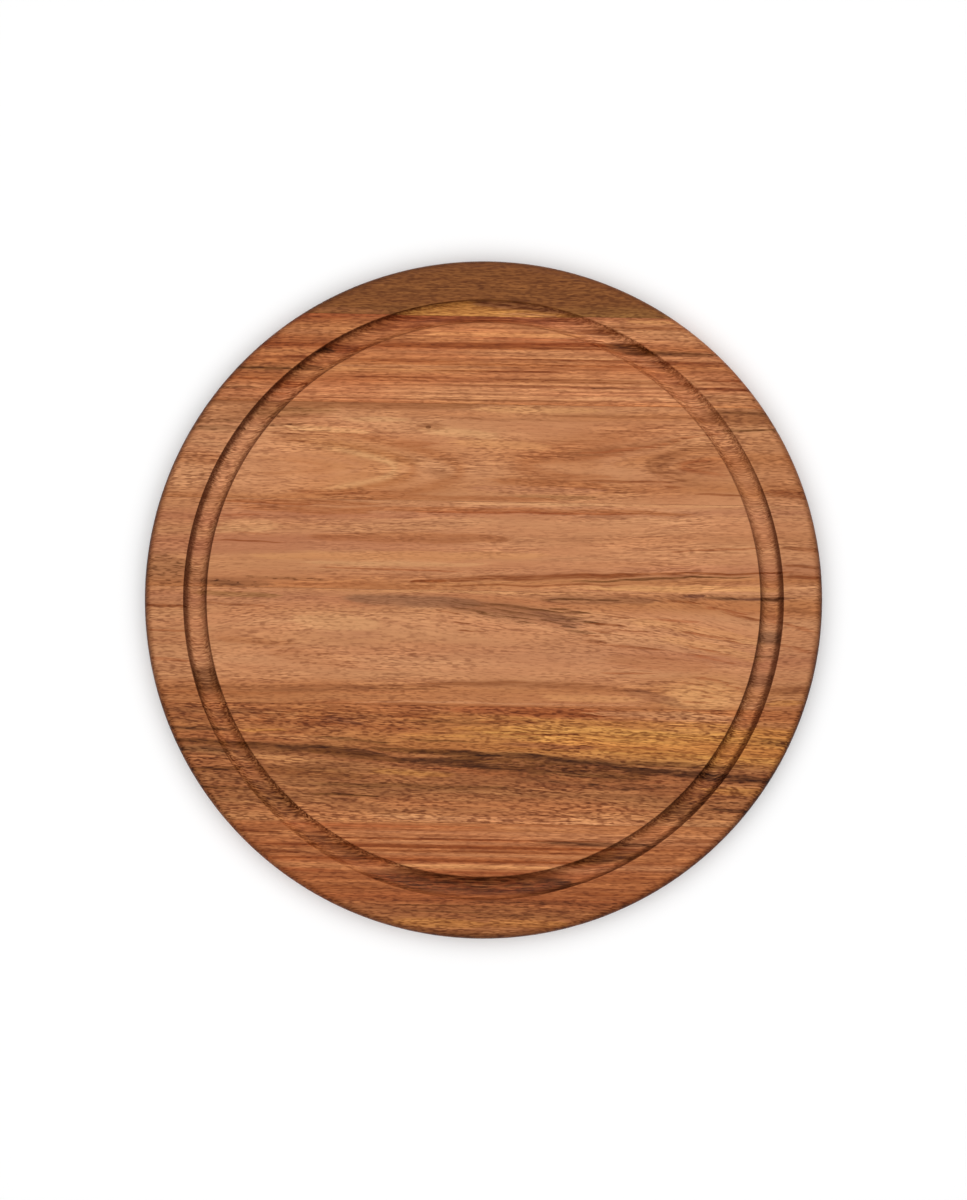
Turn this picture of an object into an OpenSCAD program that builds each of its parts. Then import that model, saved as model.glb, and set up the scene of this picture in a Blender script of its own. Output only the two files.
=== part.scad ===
// Round serving board for a pizza, glued up edge to edge from solid wood staves, with a
// juice groove routed near its rim. The board lies flat with +Z up and its origin at the
// centre of its underside. The grain of every stave runs along X, and the staves are
// numbered from the back (+Y) to the front (-Y).

/* [Board] */
// Diameter of the finished board
board_d = 320; // [300:1:400]
// Thickness of the board
board_t = 15; // [12:0.5:25]
// Rounding of the upper and the lower edge
edge_r = 4; // [1:0.5:5.5]

/* [Juice groove] */
// Rim from the edge of the board to the groove
rim_w = 18.5; // [10:0.5:30]
// Width of the groove before its lips are eased
groove_w = 11; // [9:0.5:16]
// Depth of the groove below the serving face
groove_depth = 4; // [2:0.5:4.5]
// Chamfer that eases both lips of the groove
lip_ease = 0.4; // [0.2:0.1:1]

/* [Staves] */
// Width of the first stave, at the back edge
stave_1_w = 26; // [15:0.1:40]
// Width of the second stave
stave_2_w = 41.7; // [25:0.1:60]
// Width of the third stave
stave_3_w = 45.7; // [25:0.1:60]
// Width of the fourth stave, just behind the centre
stave_4_w = 42; // [25:0.1:60]
// Width of the fifth stave, which holds the centre
stave_5_w = 54.2; // [30:0.1:70]
// Width of the sixth stave
stave_6_w = 55.1; // [30:0.1:70]
// Width of the seventh stave
stave_7_w = 35.5; // [25:0.1:60]
// Width of the eighth stave, at the front edge
stave_8_w = 19.1; // [12:0.1:40]
// Thickness of the cured glue film in each joint
glue_t = 0.1; // [0.05:0.05:0.3]

/* [Hidden] */

$fn = 180;
// How far a cutting shape runs past the wood that it cuts
overrun = 1;
board_r = board_d / 2;

// The round-nosed cutter that leaves a groove of this width and depth
bit_r = (pow(groove_w / 2, 2) + pow(groove_depth, 2)) / (2 * groove_depth);
bit_rise = bit_r - groove_depth;
groove_mid_r = board_r - rim_w - groove_w / 2;

stave_widths = [
  stave_1_w, stave_2_w, stave_3_w, stave_4_w, stave_5_w, stave_6_w, stave_7_w, stave_8_w
];
stave_count = len(stave_widths);
joint_count = stave_count - 1;
// The staves fill the board together. Where their widths and the glue don't add up to its
// diameter, every stave is ripped wider or narrower by the same share.
rip_share = (board_d - joint_count * glue_t) / sum_of_first(stave_count);

stave_colours = [
  "#80502f", "#b06c45", "#be8057", "#bc7c58", "#c1835b", "#99603b", "#a96541", "#9c5e36"
];
glue_colour = "#5a3420";

// Width of the first n staves side by side, without the glue
function sum_of_first(n) = n == 0 ? 0 : stave_widths[n - 1] + sum_of_first(n - 1);

// Middle of joint n, which lies between stave n and stave n + 1
function joint_y(n) = board_r - rip_share * sum_of_first(n) - (n - 1) * glue_t - glue_t / 2;

function stave_back_y(n) = n == 1 ? board_r + overrun : joint_y(n - 1) - glue_t / 2;
function stave_front_y(n) = n == stave_count ? -board_r - overrun : joint_y(n) + glue_t / 2;

// Half of the board's cross-section with both edges rounded, and no groove
module edge_section() {
  square([board_r - edge_r, board_t]);
  translate([0, edge_r]) square([board_r, board_t - 2 * edge_r]);
  for (corner_z = [edge_r, board_t - edge_r])
    translate([board_r - edge_r, corner_z]) circle(edge_r);
}

// What is cut away beside the cutter to ease one lip; side is 1 for the outer lip and -1 for the inner
module lip_relief_section(side) {
  lip_x = groove_mid_r + side * groove_w / 2;
  top_z = board_t + overrun;
  polygon([
    [groove_mid_r, board_t - 2 * lip_ease],
    [lip_x - side * lip_ease, board_t - 2 * lip_ease],
    [lip_x + side * lip_ease, board_t],
    [lip_x + side * lip_ease, top_z],
    [groove_mid_r, top_z]
  ]);
}

module groove_section() {
  translate([groove_mid_r, board_t + bit_rise]) circle(bit_r);
  for (side = [-1, 1]) lip_relief_section(side);
}

// The whole board as one turned and grooved disc, before it is divided into staves and glue
module board_disc() {
  rotate_extrude() difference() {
    edge_section();
    groove_section();
  }
}

// The slice of the board between two places across the grain
module board_slice(front_y, back_y) {
  intersection() {
    board_disc();
    translate([-board_r - overrun, front_y, -overrun])
      cube([board_d + 2 * overrun, back_y - front_y, board_t + 2 * overrun]);
  }
}

module stave(n) {
  color(stave_colours[n - 1]) board_slice(stave_front_y(n), stave_back_y(n));
}

module glue_line(n) {
  color(glue_colour) board_slice(joint_y(n) - glue_t / 2, joint_y(n) + glue_t / 2);
}

for (n = [1 : stave_count])
  stave(n);
for (n = [1 : joint_count])
  glue_line(n);
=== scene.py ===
"""A round wooden pizza board, glued up from eight staves, dressed for rendering.

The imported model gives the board's size and the place of every stave and glue line. Each CAD
solid is replaced by a finer mesh of the same shape, and every stave has its own solid wood
material, in which bands, stripes, fibres and pores run through the whole thickness.
"""

import math
from dataclasses import dataclass, field, replace

import bmesh
import bpy
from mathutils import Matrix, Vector


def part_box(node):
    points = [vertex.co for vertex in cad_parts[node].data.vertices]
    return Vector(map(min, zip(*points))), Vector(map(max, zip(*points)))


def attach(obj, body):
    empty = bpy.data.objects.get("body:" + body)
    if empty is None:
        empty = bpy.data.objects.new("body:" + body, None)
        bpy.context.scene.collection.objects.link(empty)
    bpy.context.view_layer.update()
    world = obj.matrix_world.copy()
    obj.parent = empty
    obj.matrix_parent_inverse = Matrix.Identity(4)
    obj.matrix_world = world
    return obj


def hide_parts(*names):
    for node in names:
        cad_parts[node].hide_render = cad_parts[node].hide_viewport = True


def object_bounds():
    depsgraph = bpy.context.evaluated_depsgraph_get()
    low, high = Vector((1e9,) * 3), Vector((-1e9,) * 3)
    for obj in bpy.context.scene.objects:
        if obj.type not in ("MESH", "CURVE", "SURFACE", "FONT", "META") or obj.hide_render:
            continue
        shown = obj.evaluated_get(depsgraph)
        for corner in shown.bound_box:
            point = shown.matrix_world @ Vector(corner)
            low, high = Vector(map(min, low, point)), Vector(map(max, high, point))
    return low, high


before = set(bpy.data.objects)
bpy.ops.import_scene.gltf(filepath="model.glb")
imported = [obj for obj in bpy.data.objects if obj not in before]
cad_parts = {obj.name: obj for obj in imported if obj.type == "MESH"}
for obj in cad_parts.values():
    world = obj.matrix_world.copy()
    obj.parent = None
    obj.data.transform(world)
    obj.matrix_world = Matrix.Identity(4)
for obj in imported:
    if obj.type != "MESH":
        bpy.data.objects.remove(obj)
cad_low, cad_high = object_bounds()

MM = 0.001
STAVE_COUNT = 8
JOINT_COUNT = STAVE_COUNT - 1

# Sizes of the board, in metres. The outline comes from the frame, the section repeats the CAD's.
BOARD_R = max(-cad_low.y, cad_high.y)
BOARD_T = cad_high.z
EDGE_R = 4 * MM
RIM_W = 18.5 * MM
GROOVE_W = 11 * MM
GROOVE_DEPTH = 4 * MM
LIP_R = 0.5 * MM

# The board's mesh
TURN_STEPS = 720
EDGE_STEPS = 14
GROOVE_STEPS = 26
LIP_STEPS = 5
SHARP_ANGLE = math.radians(40)
FLAT_WEIGHT = 100
# A cut this close to the rim would take nothing off, and corners this close to a cut lie on it
CUT_SLACK = 0.1 * MM
CUT_DIST = 1e-8

# Wood tones, as they look under the studio light, which lays a thin sheen over them
SHEEN = 0.008
DARKEST = 0.002
TONES = {
    "umber": "#52301f",
    "plum": "#6d4131",
    "walnut": "#6b3f22",
    "smoke": "#7d5a43",
    "cocoa": "#8a573c",
    "bark": "#87532f",
    "moss": "#946539",
    "russet": "#8f4d2b",
    "brick": "#a55c37",
    "chestnut": "#a0643f",
    "copper": "#ae6a41",
    "amber": "#bc7a4e",
    "rose": "#bb7b57",
    "tan": "#c4855b",
    "peach": "#cb8c62",
    "honey": "#d59662",
    "gold": "#c27f45",
    "straw": "#ca8a4a",
    "corn": "#d69250",
    "cream": "#d69c6c",
    "sand": "#e0a874",
}


def linear(tone):
    """A named tone as linear RGBA."""
    code = TONES[tone].lstrip("#")
    channels = [int(code[i : i + 2], 16) / 255 for i in (0, 2, 4)]
    bare = [max(((c + 0.055) / 1.055) ** 2.4 - SHEEN, DARKEST) for c in channels]
    return (*bare, 1.0)


@dataclass
class Streak:
    """A soft mark along the grain, in millimetres on the serving face.

    fray is how far the fibres break it up, grit how far it falls apart into single pores, curl how
    far into curly flecks, and a mark with a depth lies only that far under the face, where the
    groove lays it open, and ends below the groove.
    """

    x0: float
    y0: float
    x1: float
    y1: float
    width: float
    tone: str
    strength: float
    bow: float = 0.0
    fray: float = 1.0
    grit: float = 0.0
    curl: float = 0.0
    depth: float = 0.0


@dataclass
class Tongue:
    """A growth ring that comes to a rounded tip at x, y and opens towards one end of the stave.

    Its line lies spread above and below the axis where it is reach away from the tip. Inside is how
    strongly its tone also fills what it encloses, and rise is the slope of its axis.
    """

    x: float
    y: float
    reach: float
    spread: float
    width: float
    tone: str
    strength: float
    inside: float = 0.0
    rise: float = 0.0


@dataclass
class Swell:
    """A place where the grain bulges sideways by lift, in millimetres."""

    x: float
    y: float
    reach_x: float
    reach_y: float
    lift: float


@dataclass
class Arch:
    """Rings cut along their length: the pith lies under line y, deepest at x, and rises at the ends."""

    x: float
    y: float
    pith: float
    curve: float
    skew: float


@dataclass
class Figure:
    """How the wood of one stave looks. Places are in millimetres on the serving face.

    calm is how far its fibres and pores gather in patches, with smooth wood between.
    """

    left: list
    right: list
    slope: float = 0.0
    wander: float = 1.2
    dip: float = 0.5
    stripe: float = 0.4
    stripe_pitch: float = 3.0
    line: float = 0.3
    fibre: float = 0.35
    pore: float = 0.3
    speck: float = 0.4
    mottle: float = 0.15
    calm: float = 0.0
    hue: float = 0.4
    red: float = 0.0
    arch: Arch = None
    swells: list = field(default_factory=list)
    streaks: list = field(default_factory=list)
    tongues: list = field(default_factory=list)


@dataclass
class Pattern:
    """A noise in the wood: how often it repeats in a millimetre along and across the grain.

    layer keeps it apart from the others, or is how often it repeats through the thickness. span is
    where it fades from none to full.
    """

    along: float
    across: float
    layer: float
    detail: float = 2.0
    roughness: float = 0.5
    span: tuple = (0.3, 0.7)


class Graph:
    """Adds nodes to one node tree. A value fed to an input may be a socket or a plain number."""

    def __init__(self, tree):
        self.tree = tree

    def add(self, kind, inputs=None, **settings):
        node = self.tree.nodes.new(kind)
        for name, value in settings.items():
            setattr(node, name, value)
        for key, value in (inputs or {}).items():
            self.feed(node.inputs[key], value)
        return node

    def feed(self, socket, value):
        if isinstance(value, bpy.types.NodeSocket):
            self.tree.links.new(value, socket)
        else:
            socket.default_value = value

    def math(self, operation, *values, clamp=False):
        node = self.add("ShaderNodeMath", operation=operation, use_clamp=clamp)
        for socket, value in zip(node.inputs, values):
            self.feed(socket, value)
        return node.outputs[0]

    def times(self, a, b, clamp=False):
        return self.math("MULTIPLY", a, b, clamp=clamp)

    def minus(self, a, b, clamp=False):
        return self.math("SUBTRACT", a, b, clamp=clamp)

    def scaled(self, value, factor, plus=0.0):
        return self.math("MULTIPLY_ADD", value, factor, plus)

    def length(self, a, b):
        return self.math("SQRT", self.scaled(a, a, self.times(b, b)))

    def bell(self, off):
        """1 where off is 0, falling away on both sides."""
        return self.math("EXPONENT", self.times(self.times(off, off), -1.0))

    def smooth(self, value, low, high):
        """0 where value is low, 1 where it is high, eased between."""
        inputs = {"Value": value, "From Min": low, "From Max": high}
        return self.add("ShaderNodeMapRange", inputs, interpolation_type="SMOOTHSTEP").outputs[0]

    def mix(self, share, a, b, blend="MIX"):
        node = self.add("ShaderNodeMix", data_type="RGBA", blend_type=blend)
        for socket, value in zip((node.inputs[0], node.inputs[6], node.inputs[7]), (share, a, b)):
            self.feed(socket, value)
        return node.outputs[2]

    def tinted(self, share, colour, tint):
        """Colour with a share of a tint multiplied in."""
        return self.mix(share, colour, tint, "MULTIPLY")

    def pattern(self, kind, along, across, z=None):
        """The noise of a Pattern, which goes through the thickness where z is given."""
        layer = kind.layer if z is None else self.scaled(z, kind.layer)
        inputs = {"X": self.scaled(along, kind.along), "Y": self.scaled(across, kind.across), "Z": layer}
        place = self.add("ShaderNodeCombineXYZ", inputs).outputs[0]
        inputs = {"Vector": place, "Scale": 1.0, "Detail": kind.detail, "Roughness": kind.roughness}
        return self.add("ShaderNodeTexNoise", inputs, noise_dimensions="3D").outputs[0]

    def faded(self, kind, along, across, z=None):
        return self.smooth(self.pattern(kind, along, across, z), *kind.span)

    def ramp(self, at, stops):
        """A colour ramp through (place, colour) stops."""
        node = self.add("ShaderNodeValToRGB", {0: at})
        elements = node.color_ramp.elements
        while len(elements) < len(stops):
            elements.new(0.5)
        for element, (place, colour) in zip(elements, sorted(stops)):
            element.position = place
            element.color = colour
        return node.outputs["Color"]


def new_material(name):
    """An empty material, and the graph that fills it."""
    material = bpy.data.materials.new(name)
    material.use_nodes = True
    material.node_tree.nodes.clear()
    return material, Graph(material.node_tree)


def mask_group(name, inputs):
    """An empty node group that turns numbers into a mask, the graph that fills it, and its inputs."""
    tree = bpy.data.node_groups.new(name, "ShaderNodeTree")
    for given in inputs:
        tree.interface.new_socket(given, in_out="INPUT", socket_type="NodeSocketFloat")
    tree.interface.new_socket("Mask", in_out="OUTPUT", socket_type="NodeSocketFloat")
    g = Graph(tree)
    return tree, g, g.add("NodeGroupInput").outputs


# How a streak narrows and fades towards its ends, and where a tongue's line fades out
STREAK_TAPER = (0.6, 0.4)
STREAK_ENDS = (0.0, 0.5)
TONGUE_FADE = (1.2, 0.4)


def streak_group():
    """The node group that gives the mask of one soft streak from its two ends, width and bow."""
    names = ("X", "Y", "Start X", "Start Y", "End X", "End Y", "Width", "Bow")
    tree, g, given = mask_group("streak", names)
    run = g.minus(given["End X"], given["Start X"])
    along = g.math("DIVIDE", g.minus(given["X"], given["Start X"]), run)
    from_middle = g.scaled(along, 2.0, -1.0)
    square = g.times(from_middle, from_middle)
    taper = g.minus(1.0, square, clamp=True)
    rise = g.times(g.minus(given["End Y"], given["Start Y"]), along)
    arch = g.times(given["Bow"], g.minus(1.0, square))
    centre = g.math("ADD", g.math("ADD", given["Start Y"], rise), arch)
    half = g.times(given["Width"], g.scaled(taper, *STREAK_TAPER))
    off = g.math("DIVIDE", g.minus(given["Y"], centre), half)
    g.add("NodeGroupOutput", {"Mask": g.times(g.smooth(taper, *STREAK_ENDS), g.bell(off))})
    return tree


def tongue_group():
    """The node group that gives the mask of one tongue-shaped ring from its tip, reach and spread."""
    names = ("X", "Y", "Tip X", "Tip Y", "Reach", "Spread", "Width", "Inside", "Rise")
    tree, g, given = mask_group("tongue", names)
    from_tip = g.minus(given["X"], given["Tip X"])
    along = g.math("DIVIDE", from_tip, given["Reach"])
    axis = g.scaled(from_tip, given["Rise"], given["Tip Y"])
    off = g.math("DIVIDE", g.minus(given["Y"], axis), given["Spread"])
    within = g.minus(along, g.times(off, off))
    steep_x = g.math("DIVIDE", 1.0, given["Reach"])
    steep_y = g.math("DIVIDE", g.times(off, 2.0), given["Spread"])
    widths = g.math("DIVIDE", g.math("DIVIDE", within, g.length(steep_x, steep_y)), given["Width"])
    filled = g.times(g.smooth(widths, -1.0, 1.0), given["Inside"])
    ring = g.math("MAXIMUM", g.bell(widths), filled)
    g.add("NodeGroupOutput", {"Mask": g.times(ring, g.smooth(along, *TONGUE_FADE))})
    return tree


STREAK = streak_group()
TONGUE = tongue_group()

# The noises of the wood, in millimetres, and of the glue, in metres
DRIFT = Pattern(0.011, 0.03, 0.0, detail=1.5)
RIPPLE = Pattern(0.05, 0.11, 5.0, detail=1.0)
BUSY = Pattern(0.025, 0.12, 3.0)
FIBRE = Pattern(0.085, 1.8, 0.9, roughness=0.65)
PORES = Pattern(0.36, 1.9, 0.9, detail=0.5, roughness=0.6)
CURL = Pattern(0.16, 0.7, 0.7, roughness=0.6, span=(0.46, 0.58))
BLOTCH = Pattern(0.02, 0.06, 9.0)
STRIPE = Pattern(0.003, 1.0, 2.0, detail=4.0, roughness=0.6)
LINE = Pattern(0.007, 0.8, 4.0, detail=3.0, roughness=0.6, span=(0.56, 0.7))
MOTTLE = Pattern(0.07, 0.2, 7.0)
PATCH = Pattern(0.016, 0.08, 13.0, span=(0.35, 0.65))
HUE = Pattern(0.012, 0.16, 11.0)
SOAK = Pattern(60.0, 400.0, 400.0, detail=3.0)
NOISE_MEAN = 0.5
# Where fibres and pores turn from dark to light, and where a pore is open
GRAIN_SPAN = (0.34, 0.66)
SPECK_SPAN = (0.3, 0.6)
DASH_SPAN = (0.42, 0.3)

# How far apart the staves are cut from the same wood, and where along them the bands change, in mm
STAVES_APART = 517.0
BLOTCH_SHIFT = 120.0
SIDE_SPAN = (-60.0, 180.0)
# How much more than a stave's wander the slow drift moves its grain, and the ripple its marks
DRIFT_GAIN = 4
RIPPLE_GAIN = 2

# What dark and light grain, pores, reddish and yellowish wood multiply the colour under them by
DARK_GRAIN = (0.5, 0.36, 0.31, 1.0)
LIGHT_GRAIN = (1.5, 1.64, 1.69, 1.0)
DARK_SPECK = (0.4, 0.27, 0.22, 1.0)
LIGHT_SPECK = (1.28, 1.36, 1.39, 1.0)
RING_TINTS = [
    (0.28, DARK_GRAIN),
    (0.41, (0.84, 0.77, 0.73, 1.0)),
    (0.5, (1.02, 1.02, 1.02, 1.0)),
    (0.6, (1.2, 1.24, 1.26, 1.0)),
    (0.74, (1.4, 1.5, 1.54, 1.0)),
]
LINE_TINT = (0.6, 0.44, 0.37, 1.0)
PORE_TINT = (0.5, 0.37, 0.32, 1.0)
RED_TINT = (1.0, 0.91, 0.86, 1.0)
YELLOW_TINT = (1.0, 1.08, 1.06, 1.0)

# How far the fibres carry the ends of a streak along the grain, in millimetres, and tear its sides
FEATHER = 24.0
TEAR = 0.8
TORN_SPAN = (0.2, 0.8)
FRAY_SPAN = (0.7, 0.3)
FRAY_GAIN = (0.6, 0.65)
# Where marks under the face end again, below the groove, in millimetres of depth
POCKET_SPAN = (7.0, 5.0)

# How much steep walls darken across the grain, where the end grain is darker, and along it, where the
# darkening is painted shade, how pale they stay where they run with the lean of its fibres, and how much
# deeper they go where they run against it
WALL_TINT = (0.1, 0.02, 0.0, 1.0)
END_DARK = 0.86
SIDE_SHADE = 0.3
LEAN_PALE = 1.0
LEAN_DEEP = 0.3
# Painted shade: the groove's outer wall, which faces inward, darkens more sharply than its inner one
INWARD_SPAN = (0.0, -0.5)
OUTER_EDGE = (0.09, 0.42)
OUTER_SHADE = 0.6
OUTER_SOFT_SHADE = 0.24
# The rim and the groove are darker down to these depths, in millimetres, and the rim from its lip on
UPPER_SPAN = (9.0, 7.0)
LIP_SOFT = 1.0
RIM_TINT = (0.9, 0.88, 0.86, 1.0)
RIM_GRAIN = 0.17
SUNK_SPAN = (0.2, 1.0)
GROOVE_TINT = (0.88, 0.84, 0.83, 1.0)
GROOVE_GRAIN = 0.4
# Painted shade: the rounded outer edge darkens over its last millimetres
EDGE_LEAD = 0.5
EDGE_SHADE_TINT = (0.7, 0.63, 0.6, 1.0)

# The oiled surface
PORE_SINK = -0.6
BUMP_STRENGTH = 0.25
BUMP_DEPTH = 0.1 * MM
ROUGHNESS = (0.2, 0.42)
GLUE_ROUGHNESS = 0.5
GLOSS = 0.1


def band_stops(bands, low, high):
    """Ramp stops from (y, tone) bands across a stave that reaches from low to high."""
    return [((y - low) / (high - low), linear(tone)) for y, tone in bands]


@dataclass
class Grain:
    """The sockets that the layers of one wood share. Lengths are in millimetres."""

    x: object
    y: object
    depth: object
    along: object
    bed: object
    across: object
    ripple: object
    busy: object
    fibre: object
    speck: object
    dash: object
    curl: object


def grain_of(g, figure, seed):
    """The grain's own coordinates and its fibres. Across rises from ring to ring."""
    place = g.add("ShaderNodeTexCoord").outputs["Object"]
    scaled = g.add("ShaderNodeVectorMath", {0: place, "Scale": 1 / MM}, operation="SCALE").outputs[0]
    split = g.add("ShaderNodeSeparateXYZ", {0: scaled}).outputs
    x, y, z = split[0], split[1], split[2]
    depth = g.minus(BOARD_T / MM, z)
    along = g.math("ADD", x, seed * STAVES_APART)
    drift = g.minus(g.pattern(DRIFT, along, y), NOISE_MEAN)
    ripple = g.minus(g.pattern(RIPPLE, along, y), NOISE_MEAN)
    wander = g.scaled(drift, DRIFT_GAIN * figure.wander, g.times(ripple, figure.wander))
    sunk = g.scaled(depth, figure.dip, g.scaled(x, -figure.slope, y))
    bed = g.math("ADD", sunk, wander)
    level = bed
    for swell in figure.swells:
        off_x = g.scaled(x, 1 / swell.reach_x, -swell.x / swell.reach_x)
        off_y = g.scaled(y, 1 / swell.reach_y, -swell.y / swell.reach_y)
        far = g.scaled(off_x, off_x, g.times(off_y, off_y))
        level = g.scaled(g.math("EXPONENT", g.times(far, -1.0)), swell.lift, level)
    across = level
    if figure.arch:
        from_crest = g.minus(x, figure.arch.x)
        pith = g.scaled(g.times(from_crest, from_crest), -figure.arch.curve, figure.arch.pith)
        off = g.minus(level, figure.arch.y)
        across = g.scaled(off, figure.arch.skew, g.length(off, pith))
    busy = g.faded(BUSY, along, y)
    fibre = g.pattern(FIBRE, along, level, z)
    pores = g.pattern(PORES, along, level, z)
    speck = g.mix(g.smooth(pores, *SPECK_SPAN), DARK_SPECK, LIGHT_SPECK)
    dash = g.smooth(pores, *DASH_SPAN)
    curl = g.faded(CURL, along, level, z)
    return Grain(x, y, depth, along, bed, across, ripple, busy, fibre, speck, dash, curl)


def grain_tint(g, layer):
    """What a layer of grain multiplies the colour under it by."""
    return g.mix(g.smooth(layer, *GRAIN_SPAN), DARK_GRAIN, LIGHT_GRAIN)


def banded(g, grain, figure, low, high):
    """Broad bands of colour across the stave, which change from its left to its right end."""
    share = g.math("DIVIDE", g.minus(grain.bed, low), high - low)
    left = g.ramp(share, band_stops(figure.left, low, high))
    right = g.ramp(share, band_stops(figure.right, low, high))
    blotch = g.pattern(BLOTCH, grain.along, grain.y)
    side = g.smooth(g.scaled(blotch, BLOTCH_SHIFT, grain.x), *SIDE_SPAN)
    return g.mix(side, left, right)


def grained(g, grain, figure, colour):
    """Adds the stripes of the growth rings, fibres, a cross mottle and drifts of hue."""
    stripe = g.pattern(replace(STRIPE, across=1 / figure.stripe_pitch), grain.along, grain.across)
    line = g.faded(LINE, grain.along, grain.across)
    mottle = g.pattern(MOTTLE, grain.along, grain.across)
    colour = g.tinted(figure.stripe, colour, g.ramp(stripe, RING_TINTS))
    colour = g.tinted(g.scaled(line, figure.line), colour, LINE_TINT)
    patch = g.faded(PATCH, grain.along, grain.y)
    gathered = g.scaled(patch, 2 * figure.calm, 1 - figure.calm)
    thick = g.times(gathered, g.scaled(grain.busy, figure.fibre, figure.fibre / 2))
    for layer, strength in ((grain.fibre, thick), (mottle, figure.mottle)):
        colour = g.tinted(strength, colour, grain_tint(g, layer))
    colour = g.tinted(g.times(gathered, figure.speck), colour, grain.speck)
    hue = g.faded(HUE, grain.along, grain.across)
    colour = g.tinted(figure.hue, colour, g.mix(hue, RED_TINT, YELLOW_TINT))
    colour = g.tinted(figure.red, colour, RED_TINT)
    crowded = g.scaled(grain.busy, figure.pore, figure.pore / 2)
    return g.tinted(g.times(grain.dash, crowded, clamp=True), colour, PORE_TINT)


def streaked(g, grain, figure, colour):
    """Adds the rings and streaks that are placed one by one."""
    loose = g.minus(grain.fibre, NOISE_MEAN)
    frayed = g.scaled(g.smooth(grain.fibre, *FRAY_SPAN), *FRAY_GAIN)
    wavy_y = g.scaled(grain.ripple, RIPPLE_GAIN * figure.wander, grain.y)
    for ring in figure.tongues:
        given = {"X": grain.x, "Y": wavy_y, "Tip X": ring.x, "Tip Y": ring.y, "Reach": ring.reach,
                 "Spread": ring.spread, "Width": ring.width, "Inside": ring.inside, "Rise": ring.rise}
        mask = g.add("ShaderNodeGroup", given, node_tree=TONGUE).outputs["Mask"]
        amount = g.times(g.times(mask, ring.strength), frayed, clamp=True)
        colour = g.mix(amount, colour, linear(ring.tone))
    for s in figure.streaks:
        given = {"X": g.scaled(loose, FEATHER * s.fray, grain.x), "Y": wavy_y, "Start X": s.x0,
                 "Start Y": s.y0, "End X": s.x1, "End Y": s.y1, "Width": s.width, "Bow": s.bow}
        mask = g.add("ShaderNodeGroup", given, node_tree=STREAK).outputs["Mask"]
        torn = g.smooth(g.scaled(loose, TEAR * s.fray, mask), *TORN_SPAN)
        amount = g.times(torn, s.strength)
        for layer, share in ((frayed, s.fray), (grain.dash, s.grit), (grain.curl, s.curl)):
            if share:
                amount = g.times(amount, g.scaled(layer, share, 1 - share), clamp=True)
        if s.depth:
            amount = g.times(amount, g.smooth(grain.depth, s.depth / 2, s.depth))
            amount = g.times(amount, g.smooth(grain.depth, *POCKET_SPAN))
        colour = g.mix(amount, colour, linear(s.tone))
    return colour


def worn_and_shaded(g, grain, colour):
    """Darkens the handled rim and the groove, paints shade over the rounded edge, and darkens steep
    walls: the end grain for its own darker tone, walls along the grain and the groove's outer wall as
    painted shade.
    """
    normal = g.add("ShaderNodeSeparateXYZ", {0: g.add("ShaderNodeTexCoord").outputs["Normal"]}).outputs
    radius = g.length(grain.x, grain.y)
    lip = (BOARD_R - RIM_W) / MM
    upper = g.smooth(grain.depth, *UPPER_SPAN)
    beyond = g.smooth(radius, lip - LIP_SOFT, lip + LIP_SOFT)
    rim = g.times(beyond, upper)
    colour = g.tinted(rim, colour, RIM_TINT)
    # Painted shade over the rounded outer edge
    rounding = g.smooth(radius, (BOARD_R - EDGE_R) / MM - EDGE_LEAD, BOARD_R / MM)
    colour = g.tinted(rounding, colour, EDGE_SHADE_TINT)
    colour = g.tinted(g.scaled(rim, RIM_GRAIN), colour, grain.speck)
    sunk = g.times(g.smooth(grain.depth, *SUNK_SPAN), g.minus(upper, beyond, clamp=True))
    colour = g.tinted(sunk, colour, GROOVE_TINT)
    colour = g.tinted(g.scaled(sunk, GROOVE_GRAIN), colour, grain_tint(g, grain.fibre))
    # Steep walls: darker end grain, and painted shade on walls along the grain and on the groove's outer
    # wall
    outward = g.scaled(normal[0], grain.x, g.times(normal[1], grain.y))
    inward = g.smooth(g.math("DIVIDE", outward, radius), *INWARD_SPAN)
    end = g.times(normal[0], normal[0])
    side = g.times(normal[1], normal[1])
    lean = g.times(normal[0], normal[1])
    with_lean = g.math("MAXIMUM", lean, 0.0)
    against_lean = g.math("MINIMUM", lean, 0.0)
    dark = g.math("ADD", g.scaled(end, END_DARK), g.scaled(side, SIDE_SHADE))
    dark = g.scaled(against_lean, -LEAN_DEEP, g.scaled(with_lean, -LEAN_PALE, dark))
    crisp = g.scaled(g.smooth(dark, *OUTER_EDGE), OUTER_SHADE, g.scaled(dark, OUTER_SOFT_SHADE))
    plain = g.times(dark, g.minus(1.0, inward))
    dark = g.math("ADD", plain, g.times(crisp, inward))
    return g.tinted(g.math("MAXIMUM", dark, 0.0, clamp=True), colour, WALL_TINT)


def wood(name, figure, low, high, seed):
    """The solid wood of one stave that reaches from low to high across the grain, in millimetres."""
    material, g = new_material(name)
    grain = grain_of(g, figure, seed)
    colour = banded(g, grain, figure, low, high)
    colour = streaked(g, grain, figure, colour)
    colour = grained(g, grain, figure, colour)
    colour = worn_and_shaded(g, grain, colour)
    height = g.scaled(grain.dash, PORE_SINK, grain.fibre)
    inputs = {"Strength": BUMP_STRENGTH, "Distance": BUMP_DEPTH, "Height": height}
    bump = g.add("ShaderNodeBump", inputs).outputs[0]
    roughness = g.scaled(grain.fibre, *ROUGHNESS)
    inputs = {"Base Color": colour, "Roughness": roughness, "Normal": bump, "Specular IOR Level": GLOSS}
    shader = g.add("ShaderNodeBsdfPrincipled", inputs)
    g.add("ShaderNodeOutputMaterial", {"Surface": shader.outputs[0]})
    return material


# How far under the face the marks lie that only the groove lays open, in millimetres
MARK_DEPTH = 1.0


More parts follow.
